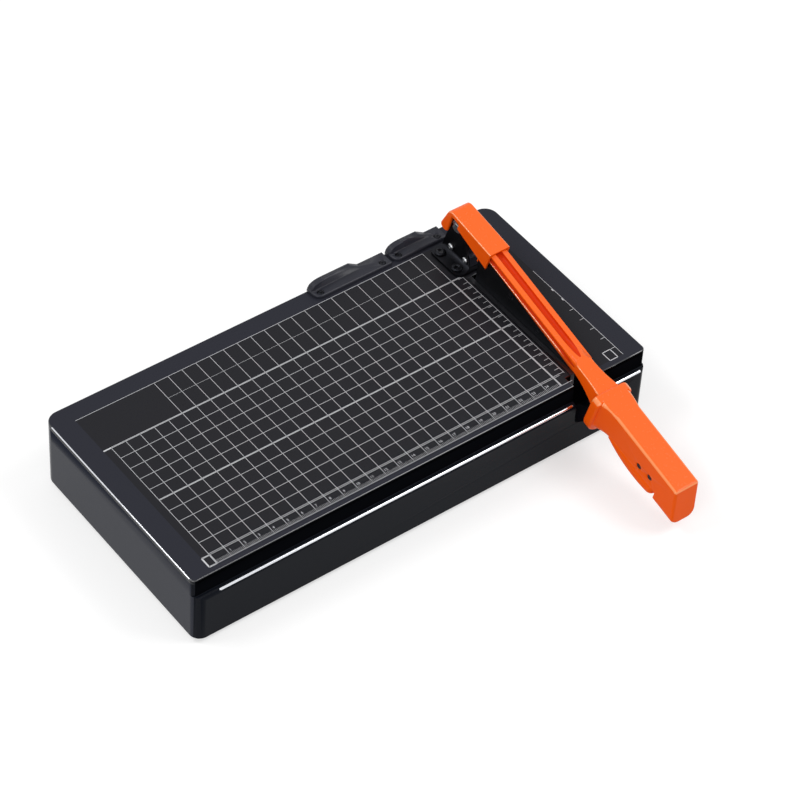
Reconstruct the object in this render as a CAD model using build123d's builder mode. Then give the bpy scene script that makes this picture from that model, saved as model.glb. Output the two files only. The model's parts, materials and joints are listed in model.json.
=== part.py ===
"""Small desk guillotine: a printed table on a hollow base, and a hinged arm that carries the blade."""
import os
from math import atan2, cos, degrees, hypot, radians, sin, tan

from build123d import *

os.makedirs("parts", exist_ok=True)

# Base shell and table, in millimetres
BASE_L = 332.0          # long side, along X
BASE_D = 160.0          # short side, along Y
BASE_H = 48.0           # rim of the shell to the top of the table
FOOT_H = 4.0            # rubber foot below the rim
WALL = 2.6              # moulded wall
UPPER_WALL = 2.9        # moulded wall above the step
DECK_T = 2.5            # moulded deck under the table plate
CORNER_R = 9.0          # upright corners at the rear
FRONT_R = 7.0           # upright corners at the front, below the step
PLATE_T = 3.0           # table plate
LEDGE_W = 3.8           # step along the front, seen from above
LEDGE_DROP = 13.0       # step along the front, below the table
EDGE_R = 0.8            # broken edge round the table
LEDGE_R = 3.0           # rounded edge of the step
RIB_T = 1.8             # stiffening ribs under the deck
RIB_H = 26.0
RIB_PITCH = 56.0
RIBS = 5

# Blade slot and the pocket for the foot of the arm
CUT_INSET = 49.0        # right end of the base to the cutting line
SLOT_W = 14.0           # cutting line to the far wall of the slot
SLOT_DEPTH = 12.0
SLOT_END = 46.0         # rear edge of the base to the end of the slot
POCKET_L = 7.0          # pocket left of the cutting line
POCKET_D = 12.0         # pocket depth from the front of the base
POCKET_H = 30.0         # pocket below the table
POCKET_R = 4.0

# Fixed blade on the edge of the table
BED_T = 3.0
BED_H = 10.0
BED_WALL = 6.0          # moulded wall behind the fixed blade
BED_SCREW_DROP = 5.5    # screws below the table
BED_SCREWS = 4

# Closed position of the arm
HINGE_INSET = 28.0      # rear edge of the base to the hinge pin
HINGE_RISE = 27.0       # hinge pin above the table
FRONT_DIP = 7.14        # line of the arm below the table, at the front of the base

# Arm, measured along its length from the hinge pin and square to it; BEFORE and PAST are lengths along the
# arm from the front of the base
ARM_W = 11.7
ARM_TOP = 11.0          # flat top of the bar above the hinge pin
ARM_START = 10.0
SADDLE_END = 31.0       # thicker end that fills the hinge cover
WEB_LOW = -3.0          # web between the bracket's ears, where it meets the saddle
WEB_TOP = 9.0
FLANGE_REAR = 5.6       # lower flange at the hinge end
FLANGE_FRONT = 2.85     # lower flange where the arm starts to widen
WIDEN_START_BEFORE = 14.3
WIDEN_MID_BEFORE = 1.3
WIDEN_MID_W = 13.0
WIDEN_MID_LOW = 0.6
WIDEN_MID_TOP = 11.6
WIDEN_W = 17.0
WIDEN_LOW = -3.0
WIDEN_TOP = 13.2
GROOVE_R = 2.4          # groove along the top
GROOVE_DEPTH = 2.2
GROOVE_BEFORE = 18.3
SIDE_R = 2.6            # grooves along both sides
SIDE_DEPTH = 1.4
SIDE_RISE = 7.6
SIDE_BEFORE = 15.3
GROOVE_FADE = 16.0      # the grooves leave the surface at a slant
GROOVE_OVERRUN = 1.0
RIDGE_R = 1.0

# Moving blade
BLADE_GAP = 0.15        # shear gap to the fixed blade
BLADE_T = 1.6
BLADE_REAR = 22.0       # hinge pin to the rear end of the blade, level
BLADE_BEFORE = 16.3
BLADE_DIP_REAR = 3.0    # cutting edge below the table at the rear
BLADE_DIP_FRONT = 7.0   # cutting edge below the table at the front
BEVEL_W = 1.1
BEVEL_H = 3.0
SKIRT_T = 3.2           # rib of the arm that the blade is screwed to
SKIRT_REAR = 8.0
SKIRT_FRONT = 2.0
BLADE_SCREW_INSET = 8.0
BLADE_SCREWS = 4

# Guard and handle
GUARD_PAST = 9.7
GUARD_T = 7.0
GUARD_W = 27.0
GUARD_LOW = -19.0       # underside of the guard
GUARD_TOP_R = 4.5
GUARD_LOW_R = 11.4
GUARD_EDGE_R = 1.8
FLARE_L = 14.0          # length over which the guard runs into the handle
FLARE_MID_W = 21.0
FLARE_MID_LOW = -13.0
FLARE_MID = 0.3         # share of the flare's length at that width
HANDLE_W = 18.4
HANDLE_TOP = 15.0       # flat top of the guard and handle above the hinge pin
HANDLE_PAST = 91.7      # upright end face
HANDLE_SEAM = -4.0      # seam between the handle and its grip
HANDLE_TOP_R = 2.2
HANDLE_LOW_R = 6.0
HANDLE_WALL = 3.0
HANDLE_EDGE_R = 1.8
POMMEL_PAST = 74.7
POMMEL_LOW = -13.5
POMMEL_R = 4.5
GRIP_GAP = 2.0          # grip to the pommel
GRIP_ENDS = -9.2       # underside of the grip at its rear end
GRIP_LOW = -14.1        # underside at its fullest
GRIP_TIP = -12.3        # underside at the front end
GRIP_TIP_R = 5.0
GRIP_EDGE_R = 3.8
GRIP_FULL_PAST = 48.7   # where the grip is fullest
TONGUE_TOP = 7.0        # tongue of the grip inside the handle
TONGUE_INSET = 2.0
HANDLE_SCREW_PAST = 66.7
HANDLE_SCREW_RISE = 1.9
HANDLE_SCREW_PITCH = 10.0
HANDLE_SCREW_FALL = 1.5

# Hinge cover over the rear end of the arm
COVER_W = 15.5
COVER_T = 1.4
COVER_FRONT = 33.5
COVER_REAR = -8.2
COVER_TOP = 10.3        # top of the cover above the pin
COVER_SLOPE = 0.1       # rise of the cover towards the front, per millimetre
COVER_LOW_FRONT = -0.4
COVER_LOW_REAR = 2.6
COVER_EDGE_R = 1.0
COVER_BACK_R = 5.0
LOBE_REAR = -12.2
LOBE_LOW = -10.2        # rear lobe of the side walls
LOBE_R = 3.0
NOTCH_REAR = -4.2       # upright notch in the side walls at the pin
NOTCH_FRONT = 2.7
NOTCH_TOP = 7.0
BACK_WALL_LOW = 3.8     # the back wall meets the ears just past the open position
COVER_SCREWS = [(28.5, 8.4), (15.0, 7.0)]
COVER_SCREW_L = 4.4

# Hinge bracket and pin
PIN_D = 5.0
EAR_T = 1.2
EAR_IN = 3.4            # middle of the arm to the inner face of an ear
EAR_R = 6.0
EAR_FOOT = 28.0         # width of an ear where it meets its foot
FOOT_T = 2.0
FOOT_W = 30.0
FOOT_L = 30.5
FOOT_R = 5.0
FOOT_SETBACK = 14.5     # foot behind the pin
FOOT_SCREW_X = 21.0
FOOT_SCREW_Y = 17.0
BLOCK_REAR = 9.0        # block between the ears, behind the pin
BLOCK_FRONT = 13.0      # and in front of it
BLOCK_H = 9.0
BLOCK_R = 2.0
BLOCK_SCREWS = [(4.9, 6.5), (-9.5, 6.0)]    # behind the pin, and above the table
KNUCKLE_W = 5.8
BUSH_D = 8.0
WASHER_T = 0.4
PIN_HEAD_T = 1.2
PIN_HEAD_D = 8.0
PIN_TIP = 0.2           # pin beyond its clip
PIN_CHAMFER = 0.2
GROOVE_D = 3.8          # groove in the pin for its clip
CLIP_T = 0.6
CLIP_D = 8.4
CLIP_MOUTH = 3.0
SPRING_T = 0.35
SPRING_H = 0.5

# Paper stops along the rear edge
STOP_D = 11.0
STOP_H = 2.6
STOP_TOP = 7.0
STOP_BACK = 4.2         # thickness of the raised back
STOP_RISE = 11.0        # length of the rounded left end
STOP_FALL = 7.0         # length of the slope at the right
STOP_ROUND = 1.3
LEFT_STOP_INSET = 141.0     # right end of the base to the left end of the stop
LEFT_STOP_L = 57.0
LEFT_HUMP_L = 38.0
RIGHT_STOP_INSET = 81.5
RIGHT_STOP_L = 40.0
RIGHT_HUMP_L = 30.0
STOP_END_R = 5.0
STOP_SCREW_INSET = 5.0

# Rubber buffer under the closed arm
BUFFER_D = 6.0
BUFFER_STEM_D = 3.0
BUFFER_BARB = 0.6
BUFFER_CROWN = 1.0      # radius of the flat that the arm meets
BUFFER_BEFORE = 19.3
BUFFER_SHIFT = 3.6      # right of the middle of the arm

# Underside
COVER_PLATE_T = 2.0
COVER_PLATE_INSET = 1.0
COVER_PLATE_GAP = 0.3
BOSS_D = 8.0
BOSS_DEPTH = 13.0
BOSS_INSET_X = 14.0
BOSS_INSET_Y = 13.0
PAD_D = 16.0
PAD_EDGE = 1.0
PAD_INSET_X = 30.0
PAD_INSET_Y = 24.0
PAD_STEM_D = 6.0
PAD_BULB = 1.2
PAD_BULB_H = 3.0

# Screws: shank and head
SMALL_D = 2.5
SMALL_HEAD_D = 4.6
SMALL_HEAD_H = 1.3
LARGE_D = 3.5
LARGE_HEAD_D = 7.0
LARGE_HEAD_H = 1.6
CSK_ANGLE = 90.0
HEAD_BEVEL = 0.7

# Fits
FIT = 0.1               # loose fit all round
RUN = 0.05              # running fit on the pin
SEAT = 0.3              # gap under a piece that only rests

# Heights and places worked out from the sizes above
table_z = FOOT_H + BASE_H
deck_z = table_z - PLATE_T
ledge_z = table_z - LEDGE_DROP
rear_y = BASE_D / 2
front_y = -BASE_D / 2
step_y = front_y + LEDGE_W
cut_x = BASE_L / 2 - CUT_INSET
bed_x = cut_x - BED_T
slot_x = cut_x + SLOT_W
slot_y = rear_y - SLOT_END
slot_z = table_z - SLOT_DEPTH
pocket_x = cut_x - POCKET_L
pocket_y = front_y + POCKET_D
pocket_z = table_z - POCKET_H
arm_x = cut_x + BLADE_GAP + ARM_W / 2
hinge_y = rear_y - HINGE_INSET
hinge_z = table_z + HINGE_RISE
cover_plate_z = FOOT_H + COVER_PLATE_INSET
boss_z = cover_plate_z + COVER_PLATE_T
left_stop_x = BASE_L / 2 - LEFT_STOP_INSET
right_stop_x = BASE_L / 2 - RIGHT_STOP_INSET

# Places along the arm, from the hinge pin, and its own directions when it is closed
pitch = degrees(atan2(HINGE_RISE + FRONT_DIP, hinge_y - front_y))
reach = hypot(HINGE_RISE + FRONT_DIP, hinge_y - front_y)
groove_end = reach - GROOVE_BEFORE
side_groove_end = reach - SIDE_BEFORE
blade_front = reach - BLADE_BEFORE
buffer_at = reach - BUFFER_BEFORE
widen_start = reach - WIDEN_START_BEFORE
widen_mid = reach - WIDEN_MID_BEFORE
guard_at = reach + GUARD_PAST
flare_at = guard_at + GUARD_T - GUARD_EDGE_R
flare_end = flare_at + FLARE_L
grip_full = reach + GRIP_FULL_PAST
pommel_at = reach + POMMEL_PAST
grip_front = pommel_at - GRIP_GAP
handle_end = reach + HANDLE_PAST
handle_screws = [(reach + HANDLE_SCREW_PAST, HANDLE_SCREW_RISE),
                 (reach + HANDLE_SCREW_PAST - HANDLE_SCREW_PITCH, HANDLE_SCREW_RISE - HANDLE_SCREW_FALL)]
along = Vector(0, -cos(radians(pitch)), -sin(radians(pitch)))
pin_centre = Vector(arm_x, hinge_y, hinge_z)
side = Plane(origin=pin_centre, x_dir=along, z_dir=(-1, 0, 0))
across = Plane(origin=pin_centre, x_dir=(0, 1, 0), z_dir=(1, 0, 0))
handle_end_y = hinge_y - handle_end * cos(radians(pitch))
middle_y = (rear_y + handle_end_y) / 2


def save(piece, name):
    """Move a piece so that the origin lies under the middle of the whole cutter, label it and write it."""
    placed = piece.moved(Location((0, -middle_y, 0)))
    placed.label = name
    export_step(placed, f"parts/{name}.step")


def station(distance):
    """Cross-section plane of the arm: x runs across the arm, y rises square to it."""
    return Plane(origin=pin_centre + along * distance, x_dir=(1, 0, 0), z_dir=along)


def section(distance, width, low, top, top_r, low_r):
    """Cross-section of the arm with rounded upper and lower corners."""
    with BuildSketch(station(distance)) as shape:
        with Locations((0, (low + top) / 2)):
            Rectangle(width, top - low)
        fillet(shape.vertices().group_by(Axis.Y)[-1], top_r)
        fillet(shape.vertices().group_by(Axis.Y)[0], low_r)
    return shape.sketch


def flange_at(distance):
    """Height of the arm's lower flange above the pin."""
    share = (distance - ARM_START) / (widen_start - ARM_START)
    return FLANGE_REAR + (FLANGE_FRONT - FLANGE_REAR) * share


def skirt_at(distance):
    """Lower edge of the rib that carries the blade, relative to the pin."""
    share = (distance - blade_rear_at) / (widen_start - blade_rear_at)
    return -(SKIRT_REAR + (SKIRT_FRONT - SKIRT_REAR) * share)


def cover_line(distance, thickness):
    """Height of the hinge cover's top above the pin, less a thickness."""
    return COVER_TOP + COVER_SLOPE * distance - thickness


def base_outline(inset):
    """Outline of the whole base, moved inwards by the inset."""
    with BuildSketch() as outline:
        Rectangle(BASE_L - 2 * inset, BASE_D - 2 * inset)
        fillet(outline.vertices().group_by(Axis.Y)[-1], CORNER_R - inset)
        fillet(outline.vertices().group_by(Axis.Y)[0], FRONT_R - inset)
    return outline.sketch


def top_outline(inset):
    """Outline of the base above the front step, moved inwards by the inset."""
    with BuildSketch() as outline:
        with Locations((0, LEDGE_W / 2)):
            Rectangle(BASE_L - 2 * inset, BASE_D - LEDGE_W - 2 * inset)
        fillet(outline.vertices().group_by(Axis.Y)[-1], CORNER_R - inset)
        fillet(outline.vertices().group_by(Axis.Y)[0], FRONT_R - LEDGE_W - inset)
    return outline.sketch


def turned_screw(seat, profile):
    """Screw turned about the seat's normal from half a profile, given as radius and height above the seat."""
    with BuildPart() as screw:
        with BuildSketch(Plane(seat.origin, x_dir=seat.x_dir, z_dir=-seat.y_dir)):
            with BuildLine():
                Polyline(*profile, close=True)
            make_face()
        revolve(axis=Axis(seat.origin, seat.z_dir))
    return screw.part


def countersunk_screw(seat, length, diameter, head_diameter):
    """Flat-head screw: its head lies level with the seat, whose normal points away from the shank."""
    shank_r = diameter / 2
    head_r = head_diameter / 2
    return turned_screw(seat, [(0, 0), (head_r, 0), (shank_r, shank_r - head_r),
                               (shank_r, -length), (0, -length)])


def pan_screw(seat, length, diameter, head_diameter, head_height):
    """Low-headed screw: its head stands on the seat, whose normal points away from the shank."""
    shank_r = diameter / 2
    head_r = head_diameter / 2
    return turned_screw(seat, [(0, head_height), (head_r - HEAD_BEVEL, head_height),
                               (head_r, head_height - HEAD_BEVEL), (head_r, 0), (shank_r, 0),
                               (shank_r, -length), (0, -length)])


def spread(first, last, count):
    """Evenly spaced values from the first to the last."""
    return [first + (last - first) * i / (count - 1) for i in range(count)]


# Screw and foot positions that several pieces share
boss_spots = [(x * (BASE_L / 2 - BOSS_INSET_X), y * (BASE_D / 2 - BOSS_INSET_Y))
              for x in (-1, 0, 1) for y in (-1, 1)]
boss_screw_l = COVER_PLATE_T + BOSS_DEPTH - SEAT
pad_spots = [(x * (BASE_L / 2 - PAD_INSET_X), y * (BASE_D / 2 - PAD_INSET_Y))
             for x in (-1, 1) for y in (-1, 1)]

bed_l = slot_y - pocket_y
bed_screw_l = BED_T + BED_WALL - SEAT
bed_seats = [Plane((cut_x, y, table_z - BED_SCREW_DROP), x_dir=(0, 1, 0), z_dir=(1, 0, 0))
             for y in spread(pocket_y + bed_l / 8, slot_y - bed_l / 8, BED_SCREWS)]

foot_y = hinge_y + FOOT_SETBACK - FOOT_L / 2
foot_screw_l = FOOT_T + PLATE_T + DECK_T + BOSS_D / 2
foot_screw_spots = [(arm_x + x * FOOT_SCREW_X / 2, foot_y + y * FOOT_SCREW_Y / 2)
                    for x in (-1, 1) for y in (-1, 1)]

ear_out = EAR_IN + EAR_T
block_screw_l = EAR_T + EAR_IN - SEAT
block_seats = [Plane((arm_x - ear_out, hinge_y + back, table_z + rise), x_dir=(0, 1, 0), z_dir=(-1, 0, 0))
               for back, rise in BLOCK_SCREWS]

stop_y = rear_y - STOP_D / 2
stop_screw_y = rear_y - (STOP_BACK + STOP_D) / 2
stop_screw_z = table_z + STOP_H - SMALL_HEAD_H
stop_screw_l = STOP_H - SMALL_HEAD_H + PLATE_T + DECK_T
stop_screw_spots = [(x + inset, stop_screw_y)
                    for x, length in ((left_stop_x, LEFT_STOP_L), (right_stop_x, RIGHT_STOP_L))
                    for inset in (STOP_SCREW_INSET, length - STOP_SCREW_INSET)]

blade_rear_at = BLADE_REAR / cos(radians(pitch))
blade_face = side.offset(ARM_W / 2)
blade_screw_l = BLADE_T + SKIRT_T - SEAT
blade_screw_at = spread(blade_rear_at + BLADE_SCREW_INSET, blade_front - BLADE_SCREW_INSET, BLADE_SCREWS)
blade_seats = [Plane(blade_face.from_local_coords(Vector(s, (flange_at(s) + skirt_at(s)) / 2, 0)),
                     x_dir=along, z_dir=(-1, 0, 0))
               for s in blade_screw_at]

cover_in = COVER_W / 2 - COVER_T
cover_right = side.offset(-COVER_W / 2)
cover_seats = [Plane(cover_right.from_local_coords(Vector(s, n, 0)), x_dir=along, z_dir=(1, 0, 0))
               for s, n in COVER_SCREWS]

handle_left = side.offset(HANDLE_W / 2)
handle_sink = SMALL_HEAD_H + SEAT
handle_screw_l = HANDLE_W / 2 - handle_sink
handle_seats = [Plane(handle_left.from_local_coords(Vector(s, n, 0)), x_dir=along, z_dir=(-1, 0, 0))
                for s, n in handle_screws]

buffer_rest = side.from_local_coords(Vector(buffer_at, flange_at(buffer_at), -BUFFER_SHIFT))

# Hollow base: a moulded box, open underneath, with a step along the front
with BuildPart() as base_shell:
    with BuildSketch(Plane.XY.offset(FOOT_H)):
        add(base_outline(0))
    extrude(amount=ledge_z - FOOT_H)
    with BuildSketch(Plane.YZ.offset(-BASE_L / 2)):
        with BuildLine():
            lip = TangentArc((front_y, ledge_z - LEDGE_R), (front_y + LEDGE_R, ledge_z), tangent=(0, 1))
            Polyline(lip @ 1, (front_y + LEDGE_R, deck_z), (front_y - WALL, deck_z),
                     (front_y - WALL, ledge_z - LEDGE_R), lip @ 0)
        make_face()
    extrude(amount=BASE_L, mode=Mode.SUBTRACT)
    with BuildSketch(Plane.XY.offset(ledge_z)):
        add(top_outline(0))
    extrude(amount=deck_z - ledge_z)
    with BuildSketch(Plane.XY.offset(FOOT_H)):
        add(base_outline(WALL))
    extrude(amount=ledge_z - WALL - FOOT_H, mode=Mode.SUBTRACT)
    with BuildSketch(Plane.XY.offset(ledge_z - WALL)):
        add(top_outline(UPPER_WALL))
    extrude(amount=deck_z - DECK_T - ledge_z + WALL, mode=Mode.SUBTRACT)
    # Stiffening ribs across the underside of the deck
    with BuildSketch(Plane.XY.offset(deck_z - DECK_T)):
        with GridLocations(RIB_PITCH, BASE_D, RIBS, 1):
            Rectangle(RIB_T, BASE_D - 2 * WALL - 2 * LEDGE_W)
    extrude(amount=-RIB_H)
    # Walls of the blade slot, then of the pocket at its front end
    with BuildSketch(Plane.XY.offset(deck_z)):
        with Locations(((bed_x - BED_WALL + slot_x + WALL) / 2, (step_y + slot_y + WALL) / 2)):
            Rectangle(slot_x + WALL - bed_x + BED_WALL, slot_y + WALL - step_y)
    extrude(amount=-(deck_z - slot_z + WALL))
    with BuildSketch(Plane.XY.offset(ledge_z - WALL / 2)):
        with Locations(((pocket_x + slot_x) / 2, (front_y + WALL / 2 + pocket_y + WALL) / 2)):
            Rectangle(slot_x - pocket_x + 2 * WALL, pocket_y + WALL / 2 - front_y)
    extrude(amount=-(ledge_z - pocket_z + WALL / 2))
    with BuildSketch(Plane.XY.offset(deck_z)):
        with Locations(((pocket_x + slot_x) / 2, (step_y + pocket_y + WALL) / 2)):
            Rectangle(slot_x - pocket_x + 2 * WALL, pocket_y + WALL - step_y)
    extrude(amount=-(deck_z - ledge_z + WALL))
    with BuildSketch(Plane.XY.offset(slot_z)):
        with Locations(((bed_x + slot_x) / 2, (front_y + slot_y) / 2)):
            Rectangle(slot_x - bed_x, slot_y - front_y)
    extrude(amount=table_z - slot_z, mode=Mode.SUBTRACT)
    with BuildSketch(Plane.XZ.offset(-front_y + LEDGE_W)) as pocket:
        with Locations(((pocket_x + slot_x) / 2, (pocket_z + table_z) / 2)):
            Rectangle(slot_x - pocket_x, table_z - pocket_z)
        fillet(pocket.vertices().group_by(Axis.Y)[0], POCKET_R)
    extrude(amount=-(POCKET_D + LEDGE_W), mode=Mode.SUBTRACT)
    # Bosses for the screws of the bottom cover and the hinge bracket
    with BuildSketch(Plane.XY.offset(boss_z)):
        with Locations(*boss_spots):
            Circle(BOSS_D / 2)
    extrude(amount=deck_z - DECK_T - boss_z)
    with BuildSketch(Plane.XY.offset(deck_z - DECK_T)):
        with Locations(*foot_screw_spots):
            Circle(BOSS_D / 2)
    extrude(amount=-BOSS_D)
    with BuildSketch(Plane.XY.offset(boss_z)):
        with Locations(*boss_spots):
            Circle(LARGE_D / 2 + FIT)
    extrude(amount=BOSS_DEPTH, mode=Mode.SUBTRACT)
    with BuildSketch(Plane.XY.offset(deck_z)):
        with Locations(*foot_screw_spots):
            Circle(LARGE_D / 2 + FIT)
    extrude(amount=-(foot_screw_l - FOOT_T - PLATE_T + SEAT), mode=Mode.SUBTRACT)
    with BuildSketch(Plane.XY.offset(deck_z)):
        with Locations(*stop_screw_spots):
            Circle(SMALL_D / 2 + FIT)
        with Locations((buffer_rest.X, buffer_rest.Y)):
            Circle(BUFFER_STEM_D / 2 + FIT)
    extrude(amount=-(SLOT_DEPTH + WALL), mode=Mode.SUBTRACT)
    for seat in bed_seats:
        with BuildSketch(seat):
            Circle(SMALL_D / 2 + FIT)
        extrude(amount=-(BED_T + BED_WALL), mode=Mode.SUBTRACT)
save(base_shell.part, "base_shell")

# Table plate with the open blade slot and the pocket cut through it
with BuildPart() as table_plate:
    with BuildSketch(Plane.XY.offset(deck_z)):
        add(top_outline(0))
    extrude(amount=PLATE_T)
    with BuildSketch(Plane.XY.offset(deck_z)):
        with Locations(((bed_x + slot_x) / 2, (front_y + slot_y) / 2)):
            Rectangle(slot_x - bed_x, slot_y - front_y)
        with Locations(((pocket_x + slot_x) / 2, (front_y + pocket_y) / 2)):
            Rectangle(slot_x - pocket_x, pocket_y - front_y)
    extrude(amount=PLATE_T, mode=Mode.SUBTRACT)
    fillet(table_plate.faces().sort_by(Axis.Z)[-1].outer_wire().edges(), EDGE_R)
    with BuildSketch(Plane.XY.offset(deck_z)):
        with Locations(*foot_screw_spots):
            Circle(LARGE_D / 2 + FIT)
        with Locations(*stop_screw_spots):
            Circle(SMALL_D / 2 + FIT)
    extrude(amount=PLATE_T, mode=Mode.SUBTRACT)
save(table_plate.part, "table_plate")

# Fixed blade: a ground steel strip against the wall of the slot, level with the table
with BuildPart() as fixed_blade:
    with BuildSketch(Plane.XY.offset(table_z)):
        with Locations((bed_x + BED_T / 2, (pocket_y + slot_y) / 2)):
            Rectangle(BED_T, bed_l - 2 * FIT)
    extrude(amount=-BED_H)
    chamfer(fixed_blade.edges().filter_by(Axis.Y).group_by(Axis.Z)[0], EDGE_R)
    with Locations(*bed_seats):
        CounterSinkHole(SMALL_D / 2 + FIT, SMALL_HEAD_D / 2 + FIT, counter_sink_angle=CSK_ANGLE)
save(fixed_blade.part, "fixed_blade")

for number, seat in enumerate(bed_seats, 1):
    save(countersunk_screw(seat, bed_screw_l, SMALL_D, SMALL_HEAD_D), f"fixed_blade_screw_{number}")


def paper_stop(start_x, length, hump_l):
    """Low bar along the rear edge, with a raised back that slopes down to the right."""
    top_z = table_z + STOP_TOP
    with BuildPart() as stop:
        with BuildSketch(Plane.XY.offset(table_z)) as bar:
            with Locations((start_x + length / 2, stop_y)):
                Rectangle(length, STOP_D)
            fillet(bar.vertices().group_by(Axis.X)[0].sort_by(Axis.Y)[0], STOP_END_R)
        extrude(amount=STOP_H)
        with BuildSketch(Plane.XZ.offset(-rear_y)):
            with BuildLine():
                rise = Spline((start_x, table_z), (start_x + STOP_RISE, top_z), tangents=[(0, 1), (1, 0)])
                flat = Line(rise @ 1, (start_x + hump_l - STOP_FALL, top_z))
                fall = Line(flat @ 1, (start_x + hump_l, table_z + STOP_H))
                Polyline(fall @ 1, (start_x + hump_l, table_z), (start_x, table_z))
            make_face()
        extrude(amount=STOP_BACK)
        fillet(stop.edges().filter_by(Axis.X).group_by(Axis.Y)[0].group_by(Axis.Z)[-1], STOP_ROUND)
        spots = [(x, y, table_z + STOP_H) for x, y in stop_screw_spots if start_x < x < start_x + length]
        with Locations(*spots):
            CounterBoreHole(SMALL_D / 2 + FIT, SMALL_HEAD_D / 2 + FIT, SMALL_HEAD_H)
    return stop.part


save(paper_stop(left_stop_x, LEFT_STOP_L, LEFT_HUMP_L), "left_paper_stop")
save(paper_stop(right_stop_x, RIGHT_STOP_L, RIGHT_HUMP_L), "right_paper_stop")

for number, (x, y) in enumerate(stop_screw_spots, 1):
    seat = Plane((x, y, stop_screw_z))
    screw = pan_screw(seat, stop_screw_l, SMALL_D, SMALL_HEAD_D, SMALL_HEAD_H)
    save(screw, f"paper_stop_screw_{number}")

# Bottom cover inside the rim, its screws and the rubber feet that snap into it
with BuildPart() as bottom_cover:
    inset = WALL + COVER_PLATE_GAP
    with BuildSketch(Plane.XY.offset(cover_plate_z)):
        add(base_outline(inset))
        with Locations(*boss_spots):
            Circle(LARGE_D / 2 + FIT, mode=Mode.SUBTRACT)
        with Locations(*pad_spots):
            Circle(PAD_STEM_D / 2 + FIT, mode=Mode.SUBTRACT)
    extrude(amount=COVER_PLATE_T)
save(bottom_cover.part, "bottom_cover")

for number, (x, y) in enumerate(boss_spots, 1):
    seat = Plane((x, y, cover_plate_z), z_dir=(0, 0, -1))
    screw = pan_screw(seat, boss_screw_l, LARGE_D, LARGE_HEAD_D, LARGE_HEAD_H)
    save(screw, f"bottom_cover_screw_{number}")

for number, (x, y) in enumerate(pad_spots, 1):
    with BuildPart() as rubber_foot:
        with BuildSketch(Plane(origin=(x, y, 0), x_dir=(1, 0, 0), z_dir=(0, -1, 0))):
            with BuildLine():
                pad_r = PAD_D / 2
                stem_r = PAD_STEM_D / 2
                bulb_z = boss_z + RUN
                tip_z = bulb_z + PAD_BULB_H
                Polyline((0, 0), (pad_r - PAD_EDGE, 0), (pad_r, PAD_EDGE), (pad_r, cover_plate_z),
                         (stem_r, cover_plate_z), (stem_r, bulb_z), (stem_r + PAD_BULB, bulb_z),
                         (stem_r - PAD_BULB, tip_z), (0, tip_z), close=True)
            make_face()
        revolve(axis=Axis((x, y, 0), (0, 0, 1)))
    save(rubber_foot.part, f"rubber_foot_{number}")

# Rubber buffer that stands in the slot; the closed arm comes down on its crown
with BuildPart() as stop_buffer:
    taper = degrees(atan2(FLANGE_REAR - FLANGE_FRONT, widen_start - ARM_START))
    stud_r = BUFFER_D / 2
    stem_r = BUFFER_STEM_D / 2
    crown_z = buffer_rest.Z - SEAT - BUFFER_CROWN * tan(radians(pitch + taper))
    shoulder_z = crown_z - stud_r + BUFFER_CROWN
    barb_z = slot_z - WALL - RUN
    with BuildSketch(Plane(origin=(buffer_rest.X, buffer_rest.Y, 0), x_dir=(1, 0, 0), z_dir=(0, -1, 0))):
        with BuildLine():
            Polyline((0, crown_z), (BUFFER_CROWN, crown_z), (stud_r, shoulder_z), (stud_r, slot_z),
                     (stem_r, slot_z), (stem_r, barb_z), (stem_r + BUFFER_BARB, barb_z),
                     (stem_r, barb_z - BUFFER_STEM_D), (0, barb_z - BUFFER_STEM_D), close=True)
        make_face()
    revolve(axis=Axis((buffer_rest.X, buffer_rest.Y, 0), (0, 0, 1)))
save(stop_buffer.part, "stop_buffer")

# Hinge bracket: a folded steel foot with two upright ears that carry the pin
with BuildPart() as hinge_bracket:
    with BuildSketch(Plane.XY.offset(table_z)):
        with Locations((arm_x, foot_y)):
            RectangleRounded(FOOT_W, FOOT_L, FOOT_R)
        with Locations(*foot_screw_spots):
            Circle(LARGE_D / 2 + FIT, mode=Mode.SUBTRACT)
    extrude(amount=FOOT_T)
    ear_low = FOOT_T / 2 - HINGE_RISE
    reach = hypot(EAR_FOOT / 2, ear_low)
    touch = degrees(atan2(ear_low, EAR_FOOT / 2)) + degrees(atan2((reach**2 - EAR_R**2) ** 0.5, EAR_R))
    touch_y = EAR_R * cos(radians(touch))
    touch_z = EAR_R * sin(radians(touch))
    for offset in (EAR_IN, -EAR_IN - EAR_T):
        with BuildSketch(across.offset(offset)):
            with BuildLine():
                ThreePointArc((touch_y, touch_z), (0, EAR_R), (-touch_y, touch_z))
                Polyline((-touch_y, touch_z), (-EAR_FOOT / 2, ear_low), (EAR_FOOT / 2, ear_low),
                         (touch_y, touch_z))
            make_face()
            Circle(PIN_D / 2 + RUN, mode=Mode.SUBTRACT)
        extrude(amount=EAR_T)
    for seat in block_seats:
        with BuildSketch(seat):
            Circle(SMALL_D / 2 + FIT)
        extrude(amount=-2 * EAR_T, mode=Mode.SUBTRACT)
save(hinge_bracket.part, "hinge_bracket")

for number, (x, y) in enumerate(foot_screw_spots, 1):
    seat = Plane((x, y, table_z + FOOT_T))
    screw = pan_screw(seat, foot_screw_l, LARGE_D, LARGE_HEAD_D, LARGE_HEAD_H)
    save(screw, f"hinge_bracket_screw_{number}")

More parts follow.
